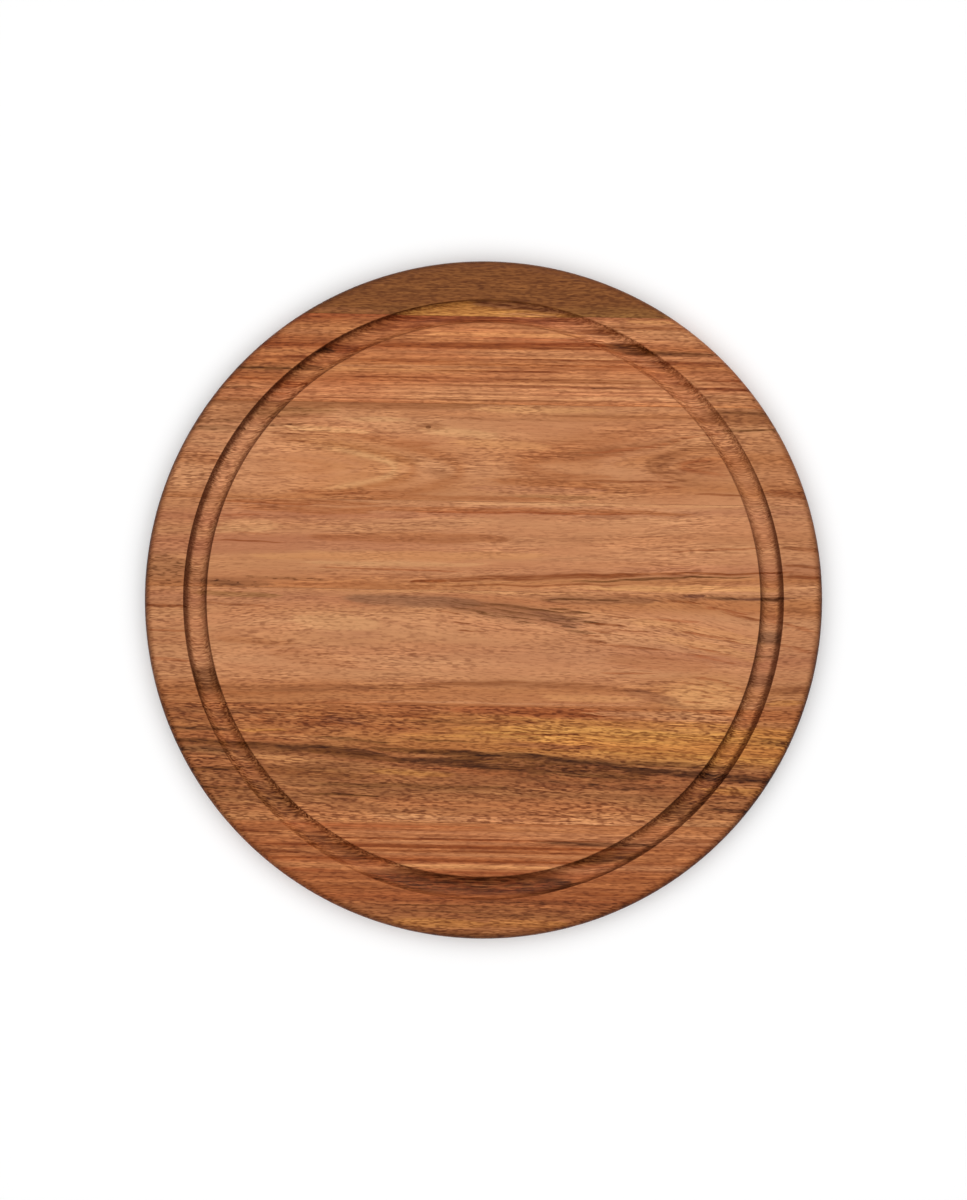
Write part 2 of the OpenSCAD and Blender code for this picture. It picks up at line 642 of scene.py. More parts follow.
def under(*values, **extras):
    """A streak that lies under the face."""
    return Streak(*values, depth=MARK_DEPTH, **extras)


def marks(*rows):
    """Streaks from rows, of which a plain tuple holds a streak's first seven values."""
    return [row if isinstance(row, Streak) else Streak(*row) for row in rows]


# The marks on each stave, in the order in which they lie over each other. A few under the face, in staves
# 6 and 7, are painted shade in the groove at the front.
MARKS_1 = marks(
    (-92, 136, -44, 135, 1.4, "chestnut", 0.6),
    under(-62, 137, 46, 137.4, 7.0, "straw", 1.0, fray=0.2),
    under(-12, 141, 66, 136.4, 3.0, "cocoa", 0.9, fray=0.4),
    Streak(6, 135.2, 34, 135, 0.8, "honey", 0.7, depth=0.8),
)

MARKS_2 = marks(
    Streak(-64, 119, 84, 121.6, 1.5, "russet", 1.0, fray=0.6),
    (-20, 118.6, 60, 119, 0.6, "russet", 0.8),
    (-50, 116.4, 70, 116.6, 0.8, "tan", 0.4),
    (-34, 125, 52, 125.2, 1.5, "honey", 0.8),
    (-10, 123.4, 60, 123, 0.6, "brick", 0.5),
    (-64, 112.4, -10, 112, 0.7, "russet", 0.7),
    (0, 113.6, 120, 113.2, 0.6, "russet", 0.8),
    (-16, 111, 115, 110.6, 0.6, "russet", 0.6),
    (-80, 109.6, 20, 109.4, 0.7, "peach", 0.6),
    (-30, 107.6, 40, 108, 0.6, "russet", 0.8),
    Streak(-6, 104, 90, 103.4, 1.0, "russet", 0.9, grit=0.3),
    (-70, 104.6, -20, 104, 0.6, "russet", 0.6),
    Streak(46, 100.6, 70, 100.4, 0.5, "umber", 0.8, grit=0.4),
    (-60, 97.6, 80, 97.8, 1.4, "peach", 0.5),
    (-30, 94, 70, 94, 0.8, "chestnut", 0.6),
    (-116, 119.6, -70, 119, 1.0, "russet", 1.0),
    (-100, 125, -70, 125.4, 1.4, "tan", 0.6),
    (-128, 108, -88, 107.6, 0.9, "walnut", 0.9),
    (-132, 103, -100, 102.6, 0.7, "russet", 0.8),
    Streak(-134, 98.4, -104, 98.4, 0.7, "walnut", 0.8, grit=0.3),
    (-98, 132, -62, 132, 1.0, "russet", 0.6),
    (-100, 113.6, -70, 113, 0.7, "russet", 0.8),
    (52, 129.4, 104, 129, 0.8, "russet", 0.6),
    (60, 132.4, 92, 132, 1.2, "honey", 0.8),
    (60, 117.6, 112, 117, 1.4, "walnut", 0.8),
    (74, 112.6, 118, 112, 0.9, "russet", 0.8),
    (96, 105, 132, 105, 0.8, "russet", 0.8),
    (96, 101, 134, 100.6, 1.0, "russet", 0.8),
    (100, 96, 134, 95.6, 1.2, "chestnut", 0.6),
    under(-66, 132.4, 50, 133.2, 2.4, "russet", 0.8),
    under(-80, 126.6, -22, 129.4, 2.4, "russet", 0.6),
    under(-100, 118.4, -54, 117.4, 2.4, "russet", 1.0),
    under(-98, 117.4, -70, 116.6, 2.0, "umber", 0.95, fray=0.6),
    under(-96, 113, -66, 112.6, 1.4, "amber", 0.8),
    under(-116, 100, -84, 100.6, 2.2, "russet", 0.9),
    under(-118, 96, -90, 96, 1.0, "copper", 0.8),
    under(-108, 109, -76, 108.2, 1.8, "walnut", 0.7),
    under(54, 121, 92, 117, 3.0, "walnut", 0.95),
    under(70, 114, 100, 109, 3.0, "smoke", 0.2),
    under(40, 127.6, 84, 127, 1.6, "russet", 0.8),
    under(84, 104, 112, 101, 1.6, "russet", 0.7),
)

MARKS_3 = marks(
    Streak(-152, 84, -66, 87.6, 4.4, "chestnut", 0.7, grit=0.2),
    Streak(-116, 86, -66, 89.6, 2.4, "moss", 0.5, grit=0.4),
    (-104, 90.6, 4, 91.4, 2.2, "chestnut", 0.85),
    Streak(-98, 88, -84, 88.4, 1.4, "walnut", 0.5, grit=0.3),
    Streak(-150, 79.4, -110, 79, 1.3, "walnut", 0.7, grit=0.3),
    Streak(-150, 82.4, -116, 82.4, 1.0, "walnut", 0.6, grit=0.3),
    Streak(-110, 80.6, -84, 81.6, 0.7, "walnut", 0.7, grit=0.5),
    Streak(-108, 84.6, -80, 86, 0.7, "walnut", 0.6, grit=0.5),
    Streak(-104, 77.4, -72, 76, 0.8, "russet", 0.6, grit=0.3),
    Streak(-104, 74.6, -80, 73.4, 0.7, "russet", 0.6, grit=0.3),
    (-152, 66, -120, 64, 4.0, "copper", 0.6),
    (-96, 80, -50, 78, 1.6, "sand", 0.5),
    (-70, 84, -36, 85, 1.6, "cream", 0.6),
    Streak(-30, 79, 10, 76.4, 2.6, "cream", 0.7, bow=0.6),
    Streak(-20, 73.4, 34, 71.6, 2.6, "honey", 0.5, bow=1),
    (-10, 89.6, 60, 90, 1.8, "honey", 0.5),
    Streak(-34, 85.4, 60, 85, 0.7, "chestnut", 0.6, grit=0.3),
    (20, 87.4, 110, 87.2, 0.8, "chestnut", 0.7),
    (-46, 72.6, -24, 73.4, 1.6, "copper", 0.6),
    Streak(-46, 65.6, -28, 63.6, 1.2, "chestnut", 0.6, grit=0.2),
    Streak(-30, 61, -14, 57.6, 2.0, "chestnut", 0.6, grit=0.2),
    (-26, 66.6, -12, 66.2, 0.8, "chestnut", 0.5),
    Streak(16, 65, 70, 71.6, 3.4, "copper", 0.7, bow=0.6),
    Streak(34, 69, 102, 78.6, 2.6, "chestnut", 0.7, bow=-1.2),
    Streak(40, 69.4, 96, 77.6, 0.7, "brick", 0.7, bow=-1.4),
    (84, 76.4, 116, 81, 0.7, "brick", 0.6),
    (44, 57.2, 90, 56.6, 0.7, "russet", 0.7),
    (28, 59.6, 60, 59, 1.2, "copper", 0.5),
    (0, 56.6, 60, 54, 2.6, "copper", 0.8),
    (-14, 52.6, 60, 52, 2.0, "rose", 0.7),
    (84, 54.6, 95, 54.4, 0.7, "russet", 0.8),
    (98, 51.6, 122, 50.6, 0.6, "russet", 0.7),
    (-94, 50, -40, 49.6, 1.6, "copper", 0.7),
    Streak(-84, 48.6, -24, 49.4, 0.9, "russet", 0.7, grit=0.5),
    (10, 49, 56, 48.8, 1.4, "moss", 0.4),
    (-56, 47.8, 40, 48, 1.4, "copper", 0.7),
    Streak(96, 87.4, 150, 88, 4.6, "chestnut", 0.8, fray=0.6),
    (106, 81.8, 148, 82, 0.7, "walnut", 0.8),
    (104, 90, 140, 89.6, 0.9, "walnut", 0.5),
    (112, 74, 152, 73, 3.0, "tan", 0.7),
    Streak(-28.8, 81, -25.8, 81, 0.9, "umber", 1.0, fray=0),
    (-34, 81.4, -18, 81.2, 2.2, "chestnut", 0.6),
    (130, 53, 160, 51, 2.2, "russet", 0.7),
)

MARKS_4 = marks(
    (-20, 45.4, 150, 45.8, 0.6, "cream", 0.6),
    (-126, 44.8, -80, 43.6, 0.7, "brick", 0.9),
    (-130, 45, -44, 44.8, 1.5, "copper", 0.8),
    (-100, 6, -16, 5.6, 1.6, "copper", 0.6),
    (-120, 42, -50, 40.4, 2.4, "copper", 0.75),
    (-80, 42, 110, 42, 1.7, "copper", 0.8),
    (-40, 41, 80, 41.4, 0.6, "brick", 0.8),
    (-60, 36.8, 50, 37, 2.0, "peach", 0.6),
    Streak(-90, 28.6, 20, 29, 3.0, "copper", 0.65, fray=0.5),
    (-120, 19, 40, 21.4, 2.6, "honey", 0.55),
    (-90, 16.2, 10, 16.8, 1.3, "cream", 0.6),
    (-84, 14, -4, 13.6, 0.5, "brick", 0.7),
    (-60, 12, 0, 12.2, 0.8, "peach", 0.6),
    (-130, 32, -96, 34, 4.0, "cream", 0.5),
    (-128, 26, -92, 26, 0.5, "russet", 0.8),
    Streak(-120, 30, -96, 29.6, 0.5, "brick", 0.6, grit=0.4),
    (-126, 38, -104, 38.4, 0.6, "brick", 0.5),
    Streak(-36, 8.4, -16, 8.6, 0.9, "russet", 1.0, fray=0.3),
    Streak(-30, 8.4, 80, 12.6, 1.6, "russet", 0.8, bow=0.6),
    (20, 11.4, 156, 15.4, 0.7, "russet", 0.9),
    Streak(36, 8.6, 134, 12.8, 0.6, "walnut", 0.9, bow=0.6),
    (-26, 6.2, 76, 8.4, 0.5, "russet", 0.7),
    (44, 6.2, 148, 7.2, 1.9, "honey", 0.95),
    (84, 24, 136, 27, 0.6, "brick", 0.6),
    (30, 16, 130, 20, 1.6, "tan", 0.6),
    (-140, 7.2, -96, 6.4, 2.6, "cocoa", 0.4),
    Streak(-138, 6.6, -98, 5.6, 2.0, "umber", 0.9, grit=0.8),
    Streak(-132, 6.4, -112, 5.4, 1.5, "umber", 0.8, grit=0.5),
    Streak(-118, 9.4, -70, 8.4, 1.0, "walnut", 0.7, grit=0.6),
    (-168, 13, -132, 11, 8, "chestnut", 0.3),
    Streak(-168, 13.6, -132, 10, 8, "walnut", 0.6, grit=0.75),
    (138, 13.4, 166, 13, 0.9, "russet", 0.9),
    (138, 26.4, 166, 26, 1.2, "russet", 0.7),
    (138, 18, 166, 18, 0.9, "russet", 0.7),
)

MARKS_5 = marks(
    Streak(-70, 0, 4, -2, 3.4, "smoke", 0.55, fray=0.5),
    Streak(-24, -2, 52, -10.4, 4.4, "cocoa", 0.55, bow=0.8),
    (-8, -5.4, 10, -8, 0.45, "walnut", 0.7),
    (10, -9.4, 25, -11.4, 0.45, "walnut", 0.7),
    (16, -2.6, 38, -5.4, 0.45, "walnut", 0.7),
    (22, -6.4, 46, -9, 0.5, "walnut", 0.7),
    (30, -5.8, 50, -7.6, 0.45, "walnut", 0.7),
    (38, -13.4, 52, -15, 0.5, "walnut", 0.6),
    (56, -6, 72, -7.4, 0.5, "russet", 0.7),
    (60, -12.4, 78, -14, 0.5, "russet", 0.7),
    (-22, -5.4, -7, -7.2, 0.45, "russet", 0.7),
    (20, -5.4, 40, -7.8, 2.0, "plum", 0.3),
    (-15, -1.2, 4, -3.4, 0.5, "walnut", 0.65),
    (-16, -3.6, 5, -6.8, 0.5, "walnut", 0.6),
    (-3, -1.3, 34, -5, 0.6, "walnut", 0.65),
    (3, -3.6, 29, -7.6, 0.7, "walnut", 0.65),
    (8, -6.9, 25, -9.4, 0.5, "walnut", 0.7),
    (27, -8.4, 49, -12.2, 1.9, "plum", 0.4),
    (26, -9, 42, -11, 0.5, "walnut", 0.8),
    (33, -11.2, 46, -12.8, 0.5, "umber", 0.6),
    (-15, -10.6, -5, -11.2, 0.5, "russet", 0.8),
    (-15, -14.4, -3, -15.2, 0.5, "russet", 0.8),
    (31, -3.3, 43, -3.7, 0.5, "walnut", 0.9),
    (38, -4.6, 52, -5.4, 0.6, "walnut", 0.8),
    (44, -9.2, 60, -11.2, 0.6, "walnut", 0.8),
    (48, -10.2, 70, -11, 0.6, "russet", 0.8),
    (50, -13, 68, -15.8, 0.6, "russet", 0.8),
    (46, -15, 58, -16.4, 0.5, "russet", 0.7),
    Streak(44, -17.6, 64, -21, 0.7, "russet", 0.8, grit=0.2),
    (60, -20.4, 86, -22.8, 0.8, "russet", 0.7),
    (22, 0.5, 86, 1, 2.4, "cocoa", 0.5),
    (27, 0.5, 51, 1.4, 0.6, "walnut", 0.8),
    (50, 1, 64, 0.8, 0.6, "walnut", 0.7),
    (64, 1.8, 134, 2.8, 1.6, "cocoa", 0.4),
    (93, 2.8, 107, 3, 1.0, "plum", 0.9),
    (105, 2.3, 121, 2.6, 0.8, "umber", 0.7),
    (117, 2, 150, 3.2, 0.9, "plum", 0.8),
    (86, 1.2, 103, -0.2, 0.6, "russet", 0.8),
    (-90, 3.6, 60, 3.7, 0.6, "honey", 0.4),
    (54, -27, 112, -30, 4.0, "copper", 0.4),
    (56, -33.4, 82, -33.6, 0.6, "brick", 0.7),
    Streak(-160, -43, -6, -40.2, 2.0, "chestnut", 0.9, bow=-1.4),
    (-30, -39.6, 26, -38.6, 0.8, "russet", 0.8),
    Streak(-34, -40, 88, -43, 2.0, "chestnut", 0.8, bow=2),
    (-120, -46.4, 70, -46, 1.8, "amber", 0.5),
    (24, -45.2, 78, -46, 1.8, "honey", 0.6),
    (-70, -48.6, 90, -48.6, 0.6, "peach", 0.7),
    Streak(66, -41.6, 98, -49.4, 2.6, "cocoa", 0.5, bow=0.8),
    (94, -46.2, 108, -46.8, 0.5, "brick", 0.6),
    (101, -42.6, 114, -44.6, 0.5, "brick", 0.6),
    Streak(98, -34.4, 126, -42, 0.8, "brick", 0.7, bow=1.2),
    Streak(90, -37.4, 122, -44, 0.5, "copper", 0.7, bow=1.8),
    Streak(94, -40.4, 120, -46, 0.4, "copper", 0.6, bow=1.6),
    (-92, -10, -46, -12.6, 4.5, "cream", 0.6),
    (-80, -17, -46, -17.6, 2.2, "rose", 0.5),
    Streak(-104, -26, -54, -31, 4, "copper", 0.5, grit=0.4),
    (-128, -20, -86, -22, 2.0, "copper", 0.5),
    (-30, -34, 60, -33, 2.4, "peach", 0.5),
    Streak(64, -8, 138, -20, 3.0, "honey", 0.5, bow=1),
    Streak(80, -17, 136, -28, 3.0, "honey", 0.5, bow=1.6),
    (92, -13, 110, -16.4, 0.8, "brick", 0.7),
    (106, -15.4, 124, -19.2, 0.7, "brick", 0.8),
    (93, -19.4, 120, -24.6, 0.7, "brick", 0.8),
    (93, -23.4, 121, -28.6, 0.7, "brick", 0.7),
    Streak(102, -1.2, 132, -8, 0.8, "brick", 0.7, bow=0.5),
    (116, -4.6, 134, -9, 0.8, "russet", 0.7),
    (82, -8.2, 103, -8.8, 0.8, "brick", 0.7),
    (-140, 1.4, -92, 0.4, 1.6, "moss", 0.6),
    (-136, -3, -100, -4.6, 0.7, "russet", 0.5),
    (-164, -5, -136, -5, 0.9, "russet", 0.8),
    (-164, -16, -136, -17, 0.7, "brick", 0.7),
    (-162, -30, -134, -31, 0.9, "brick", 0.7),
    (134, -41, 160, -40, 2.4, "chestnut", 0.8),
    (132, -47, 152, -45.6, 1.6, "gold", 0.7),
    (136, -8, 164, -14, 0.8, "brick", 0.7),
    (136, -18, 164, -24, 0.9, "brick", 0.6),
    (138, -2, 164, -5, 1.4, "chestnut", 0.7),
    under(-152, -39.4, -112, -39.4, 7.4, "walnut", 0.7, fray=0.5),
    under(122, -15.8, 150, -16, 3.4, "smoke", 0.7, fray=0.6),
    under(122, 2.4, 150, 2.4, 1.2, "walnut", 0.7),
    under(116, -36.4, 148, -35.4, 3.4, "cocoa", 0.7),
    under(122, -25, 150, -25, 0.7, "walnut", 0.4),
)

MARKS_6 = marks(
    (-24, -75.6, 88, -81.6, 6.0, "walnut", 0.8),
    (-8, -75, 46, -78, 3.0, "walnut", 0.7),
    Streak(-14, -77.4, 60, -82, 4.6, "umber", 0.6, curl=0.8),
    (-126, -70, -56, -71.6, 2.6, "walnut", 0.6),
    (-102, -69.6, -40, -74, 1.7, "umber", 0.75),
    (-84, -72, -30, -76.4, 1.6, "walnut", 0.8),
    (-44, -75.2, 14, -78.6, 2.3, "umber", 0.8),
    (-56, -70.8, 14, -73, 1.2, "walnut", 0.9),
    (-20, -72.4, 34, -73.2, 1.6, "umber", 0.75),
    Streak(14, -72, 92, -80.4, 2.0, "umber", 0.8, bow=-0.4),
    Streak(26, -73.6, 70, -78.6, 0.8, "umber", 0.7, grit=0.2),
    (62, -78.4, 152, -84.4, 2.2, "umber", 0.85),
    (60, -75.4, 128, -77.6, 1.6, "walnut", 0.6),
    Streak(8, -81, 94, -88.4, 4.2, "umber", 0.7, curl=0.7),
    Streak(-30, -79.4, 60, -83.6, 2.0, "copper", 0.8, curl=0.7),
    Streak(-8, -74.6, 74, -80.8, 3.2, "chestnut", 0.7, curl=0.8),
    Streak(30, -83.4, 96, -85, 1.6, "copper", 0.6, grit=0.3),
    (-152, -68, -100, -70, 1.4, "walnut", 0.8),
    (-18, -60.4, 66, -61.6, 1.8, "gold", 0.8),
    (-4, -62.6, 90, -64.6, 2.0, "straw", 0.7),
    (10, -59.6, 84, -60.8, 1.4, "corn", 0.6),
    (14, -64.6, 110, -68, 2.2, "straw", 0.7),
    (30, -66.4, 128, -70.4, 2.0, "corn", 0.6),
    (44, -69, 132, -73, 1.8, "straw", 0.7),
    (58, -62, 130, -65, 2.2, "straw", 0.7),
    (-2, -63.2, 50, -62.8, 0.5, "russet", 0.8),
    (6, -67.4, 56, -69.4, 1.6, "chestnut", 0.8),
    Streak(10, -69.6, 42, -71, 0.8, "walnut", 0.6, grit=0.2),
    (40, -66, 118, -72, 0.5, "russet", 0.6),
    (50, -68.6, 112, -74, 0.5, "russet", 0.6),
    (60, -63, 122, -66, 0.5, "russet", 0.3),
    Streak(-116, -56, -56, -58, 5.0, "russet", 0.6, curl=0.9),
    Streak(-76, -56.6, -54, -59, 1.2, "plum", 0.7, curl=0.3),
    (-46, -55, -20, -55.8, 1.6, "russet", 0.5),
    Streak(-40, -57.6, 10, -58, 0.8, "walnut", 0.6, grit=0.3),
    (-112, -62.4, -92, -63, 0.9, "gold", 0.9),
    (-120, -65.6, -54, -66.6, 1.2, "amber", 0.8),
    (-80, -65, -40, -69, 0.8, "walnut", 0.7),
    (-40, -66.4, 0, -67.4, 0.7, "walnut", 0.6),
    (-40, -64, 0, -64.6, 1.4, "gold", 0.6),
    (-20, -51.8, 70, -53, 2.6, "brick", 0.8),
    (10, -52.4, 62, -54, 1.6, "russet", 0.8),
    (46, -52.2, 130, -54.4, 2.2, "tan", 0.8),
    Streak(60, -58, 124, -60, 2.4, "amber", 0.5, grit=0.3),
    (-4, -57, 30, -57.4, 0.8, "russet", 0.7),
    Streak(-80, -62, -10, -64, 1.6, "copper", 0.5, curl=0.4),
    Streak(-54, -81, -10, -83, 2.0, "gold", 0.7, curl=0.4),
    (-110, -81, -50, -84, 3.0, "bark", 0.6),
    (-106, -75.4, -70, -76, 1.4, "amber", 0.6),
    Streak(-84, -87.6, 20, -88.6, 1.4, "walnut", 0.7, grit=0.2),
    (36, -88.4, 84, -90, 1.0, "amber", 0.7),
    (-84, -92.5, -46, -93, 0.8, "walnut", 0.9),
    (-10, -96.4, 80, -97, 2.0, "amber", 0.4),
    (-60, -100.6, 60, -101, 0.9, "chestnut", 0.6),
    (-54, -103, 24, -103.2, 1.4, "tan", 0.7),
    (-152, -62, -118, -63, 1.2, "umber", 0.7),
    (-150, -72, -112, -73, 1.4, "umber", 0.6),
    (-144, -81.4, -108, -81, 1.3, "walnut", 0.8),
    (-138, -90, -104, -90.6, 0.9, "walnut", 0.7),
    (104, -97, 136, -98, 0.9, "umber", 0.8),
    (104, -88, 140, -89, 2.4, "gold", 0.7),
    Streak(130, -64, 148, -66, 2.0, "walnut", 0.8, grit=0.3),
    (112, -72, 150, -75, 1.2, "gold", 0.3),
    # These two: painted shade in the groove at the front of the board
    under(-122, -88, -80, -103, 7.0, "walnut", 0.55),
    under(82, -103, 118, -88, 6.0, "walnut", 0.55),
)

MARKS_7 = marks(
    (-104, -107, 10, -107.2, 0.9, "brick", 0.7),
    (10, -107, 60, -107.2, 0.9, "tan", 0.5),
    (-70, -109.8, 70, -110, 0.9, "tan", 0.6),
    (-96, -113, 70, -113.2, 0.6, "russet", 0.9),
    (-60, -114.6, 30, -114.8, 0.7, "tan", 0.6),
    Streak(-116, -116.2, 92, -117, 1.0, "russet", 1.0, fray=0.6),
    (-64, -118.6, 64, -118.8, 0.6, "russet", 0.7),
    (-60, -120.2, 60, -120.6, 0.8, "tan", 0.7),
    Streak(-112, -122.4, 64, -123.4, 0.8, "russet", 1.0, fray=0.6),
    (-46, -125.6, 46, -126, 1.2, "honey", 0.8),
    (-30, -128.6, 30, -128.8, 0.6, "brick", 0.7),
    under(-84, -133.4, 56, -134.4, 6.0, "umber", 0.85),
    under(-74, -133, 44, -134.6, 5.0, "brick", 0.6, curl=0.8),
    (24, -113.6, 88, -115, 1.3, "umber", 0.7),
    under(30, -124, 86, -119, 2.6, "walnut", 0.8),
    (-124, -110, -90, -110.6, 0.9, "russet", 0.8),
    (-118, -119.6, -84, -120, 0.9, "russet", 0.8),
    (-106, -128, -60, -128.6, 1.0, "brick", 0.8),
    (-90, -136, -40, -136.6, 1.0, "russet", 0.7),
    (50, -131, 104, -130.6, 1.0, "russet", 0.5),
    # These two: painted shade in the groove at the front of the board
    under(-92, -110, -50, -125, 5.0, "walnut", 0.5),
    under(52, -124, 92, -110, 4.0, "walnut", 0.4),
    (40, -138, 86, -138, 1.0, "russet", 0.7),
    (90, -112, 126, -112, 1.0, "russet", 0.8),
)

MARKS_8 = marks(
    Streak(-10, -141.8, 84, -142.8, 1.2, "umber", 0.55, grit=0.3),
    (-50, -144, 30, -144.4, 0.6, "walnut", 0.6),
    Streak(-8, -149, 44, -149, 1.2, "walnut", 0.7, grit=0.6),
    (-44, -152, 6, -153, 2.4, "gold", 0.7),
    (0, -152.6, 46, -152, 2.2, "gold", 0.6),
    (-40, -147, 10, -147.4, 0.6, "walnut", 0.5),
)

FIGURES = [
    # Stave 1: even dark olive-brown, with pale sapwood under the face where the groove cuts it
    Figure(
        left=[(134, "bark"), (142, "bark"), (160, "bark")],
        right=[(134, "moss"), (140, "bark"), (160, "bark")],
        stripe=0.06, line=0.05, fibre=0.42, pore=0.05, speck=0.34, mottle=0.0, hue=0.2,
        streaks=MARKS_1,
    ),
    # Stave 2: reddish orange with straight dark red lines
    Figure(
        left=[(92, "amber"), (94, "tan"), (99, "tan"), (103, "copper"), (108, "amber"), (112, "copper"),
              (116, "amber"), (119, "brick"), (122, "copper"), (127, "amber"), (130, "copper"),
              (134, "brick")],
        right=[(92, "amber"), (95, "peach"), (99, "peach"), (103, "tan"), (107, "tan"), (111, "amber"),
               (114, "tan"), (117, "peach"), (119, "amber"), (122, "tan"), (125, "peach"), (129, "tan"),
               (134, "peach")],
        stripe=0.8, stripe_pitch=1.25, line=0.5, fibre=0.34, pore=0.2, speck=0.25, wander=0.3, hue=0.8,
        red=0.8,
        streaks=MARKS_2,
    ),
    # Stave 3: orange-tan with arched rings from both ends, and a pin knot
    Figure(
        left=[(46, "amber"), (49, "tan"), (54, "peach"), (66, "peach"), (76, "peach"), (84, "peach"),
              (89, "tan"), (92, "chestnut")],
        right=[(46, "peach"), (50, "tan"), (53, "amber"), (60, "tan"), (68, "amber"), (78, "tan"),
               (85, "tan"), (87, "amber"), (90, "tan"), (92, "tan")],
        stripe=0.12, line=0.08, fibre=0.25, pore=0.12, speck=0.25, calm=0.7, wander=0.8, mottle=0.04,
        arch=Arch(x=25, y=62.5, pith=30, curve=0.0006, skew=0.25),
        tongues=[
            Tongue(-12, 61, -90, 20.0, 3.0, "copper", 0.75),
            Tongue(-24, 61, -80, 17.0, 2.0, "peach", 0.6),
            Tongue(-34, 61, -70, 15.4, 2.2, "copper", 0.75),
            Tongue(-43, 61, -60, 13.4, 6.0, "gold", 0.3, inside=1.0),
            Tongue(-43, 61, -38, 10.6, 1.5, "sand", 0.6),
            Tongue(-60, 61.6, -50, 7.6, 1.0, "peach", 0.5),
            Tongue(-74, 61.6, -46, 4.6, 1.0, "amber", 0.5),
            Tongue(18, 64, 80, 15.0, 5.0, "copper", 0.7, rise=0.05),
            Tongue(57, 64.6, 50, 10.0, 3.4, "peach", 0.7, rise=0.06),
            Tongue(77, 64.6, 34, 9.9, 1.8, "chestnut", 0.9, inside=0.85),
            Tongue(87, 64.6, 28, 6.4, 0.9, "tan", 0.6),
            Tongue(93, 64.6, 26, 4.4, 1.0, "brick", 0.7, inside=0.4),
        ],
        streaks=MARKS_3,
    ),
    # Stave 4: smooth and pinkish, with a rising dark streak
    Figure(
        left=[(4, "amber"), (8, "amber"), (12, "tan"), (20, "tan"), (24, "rose"), (29, "rose"),
              (35, "tan"), (40, "rose"), (46, "tan")],
        right=[(4, "peach"), (8, "amber"), (13, "rose"), (20, "peach"), (28, "tan"), (34, "peach"),
               (38, "peach"), (41, "rose"), (44, "peach"), (46, "peach")],
        slope=0.02, stripe=0.18, stripe_pitch=3.4, line=0.08, fibre=0.24, pore=0.12, speck=0.18,
        calm=0.75, mottle=0.03,
        streaks=MARKS_4,
    ),
    # Stave 5: wide and tan, with a grey smudge, slanting grain at the right and a golden swirl
    Figure(
        left=[(-50, "copper"), (-48, "amber"), (-45, "copper"), (-42, "amber"), (-38, "tan"),
              (-30, "peach"), (-20, "tan"), (-12, "peach"), (-6, "tan"), (0, "rose"), (4, "tan")],
        right=[(-50, "copper"), (-46, "tan"), (-42, "amber"), (-38, "tan"), (-32, "peach"), (-26, "rose"),
               (-18, "peach"), (-8, "peach"), (-3, "amber"), (1, "amber"), (4, "tan")],
        stripe=0.08, line=0.06, fibre=0.23, pore=0.2, speck=0.26, calm=0.5, wander=1.0, mottle=0.03,
        swells=[
            Swell(140, -10, 60, 26, 13), Swell(104, -36, 30, 9, -1.5), Swell(104, -52, 30, 9, 1.5),
            Swell(-24, -7, 44, 13, -5), Swell(-84, -7, 44, 13, -5),
        ],
        tongues=[
            Tongue(80, -44.2, 40, 11.0, 3.0, "copper", 0.5),
            Tongue(91, -44.2, 34, 8.0, 3.2, "honey", 0.7, inside=1.0),
            Tongue(96, -44.2, 26, 5.4, 3.0, "honey", 0.7, inside=1.0),
        ],
        streaks=MARKS_5,
    ),
    # Stave 6: dark and streaky, with a golden field and a falling dark band
    Figure(
        left=[(-105, "amber"), (-98, "chestnut"), (-90, "chestnut"), (-82, "chestnut"), (-74, "chestnut"),
              (-66, "copper"), (-58, "chestnut"), (-50, "copper")],
        right=[(-105, "tan"), (-98, "amber"), (-90, "chestnut"), (-82, "chestnut"), (-75, "chestnut"),
               (-70, "gold"), (-62, "gold"), (-55, "gold"), (-52.5, "amber"), (-50, "copper")],
        slope=-0.03, stripe=0.3, stripe_pitch=1.6, line=0.25, fibre=0.52, pore=0.2, speck=0.62, calm=0.25,
        mottle=0.1, hue=0.8,
        streaks=MARKS_6,
    ),
    # Stave 7: reddish orange with straight dark red lines
    Figure(
        left=[(-141, "brick"), (-136, "copper"), (-130, "copper"), (-126, "amber"), (-123, "brick"),
              (-120, "amber"), (-116, "copper"), (-112, "amber"), (-107, "copper"), (-105, "amber")],
        right=[(-141, "copper"), (-134, "copper"), (-128, "copper"), (-125, "tan"), (-123, "copper"),
               (-120, "amber"), (-117, "copper"), (-112, "tan"), (-108, "amber"), (-105, "amber")],
        stripe=0.8, stripe_pitch=1.3, line=0.55, fibre=0.36, pore=0.2, speck=0.25, wander=0.3, red=0.7,
        streaks=MARKS_7,
    ),
    # Stave 8: brown and curly
    Figure(
        left=[(-160, "chestnut"), (-152, "chestnut"), (-145, "chestnut"), (-141, "brick")],
        right=[(-160, "chestnut"), (-152, "copper"), (-146, "copper"), (-141, "brick")],
        stripe=0.5, stripe_pitch=1.6, line=0.4, fibre=0.42, pore=0.2, speck=0.45, mottle=0.12, wander=0.6,
        streaks=MARKS_8,
    ),
]


def glue_material():
    """Cured adhesive, sanded flush and darkened by oil."""
    material, g = new_material("glue")
    place = g.add("ShaderNodeSeparateXYZ", {0: g.add("ShaderNodeTexCoord").outputs["Object"]}).outputs
    soak = g.faded(SOAK, place[0], place[1], place[2])
    colour = g.mix(soak, linear("umber"), linear("walnut"))
    inputs = {"Base Color": colour, "Roughness": GLUE_ROUGHNESS, "Specular IOR Level": GLOSS}
    shader = g.add("ShaderNodeBsdfPrincipled", inputs)
    g.add("ShaderNodeOutputMaterial", {"Surface": shader.outputs[0]})
    return material


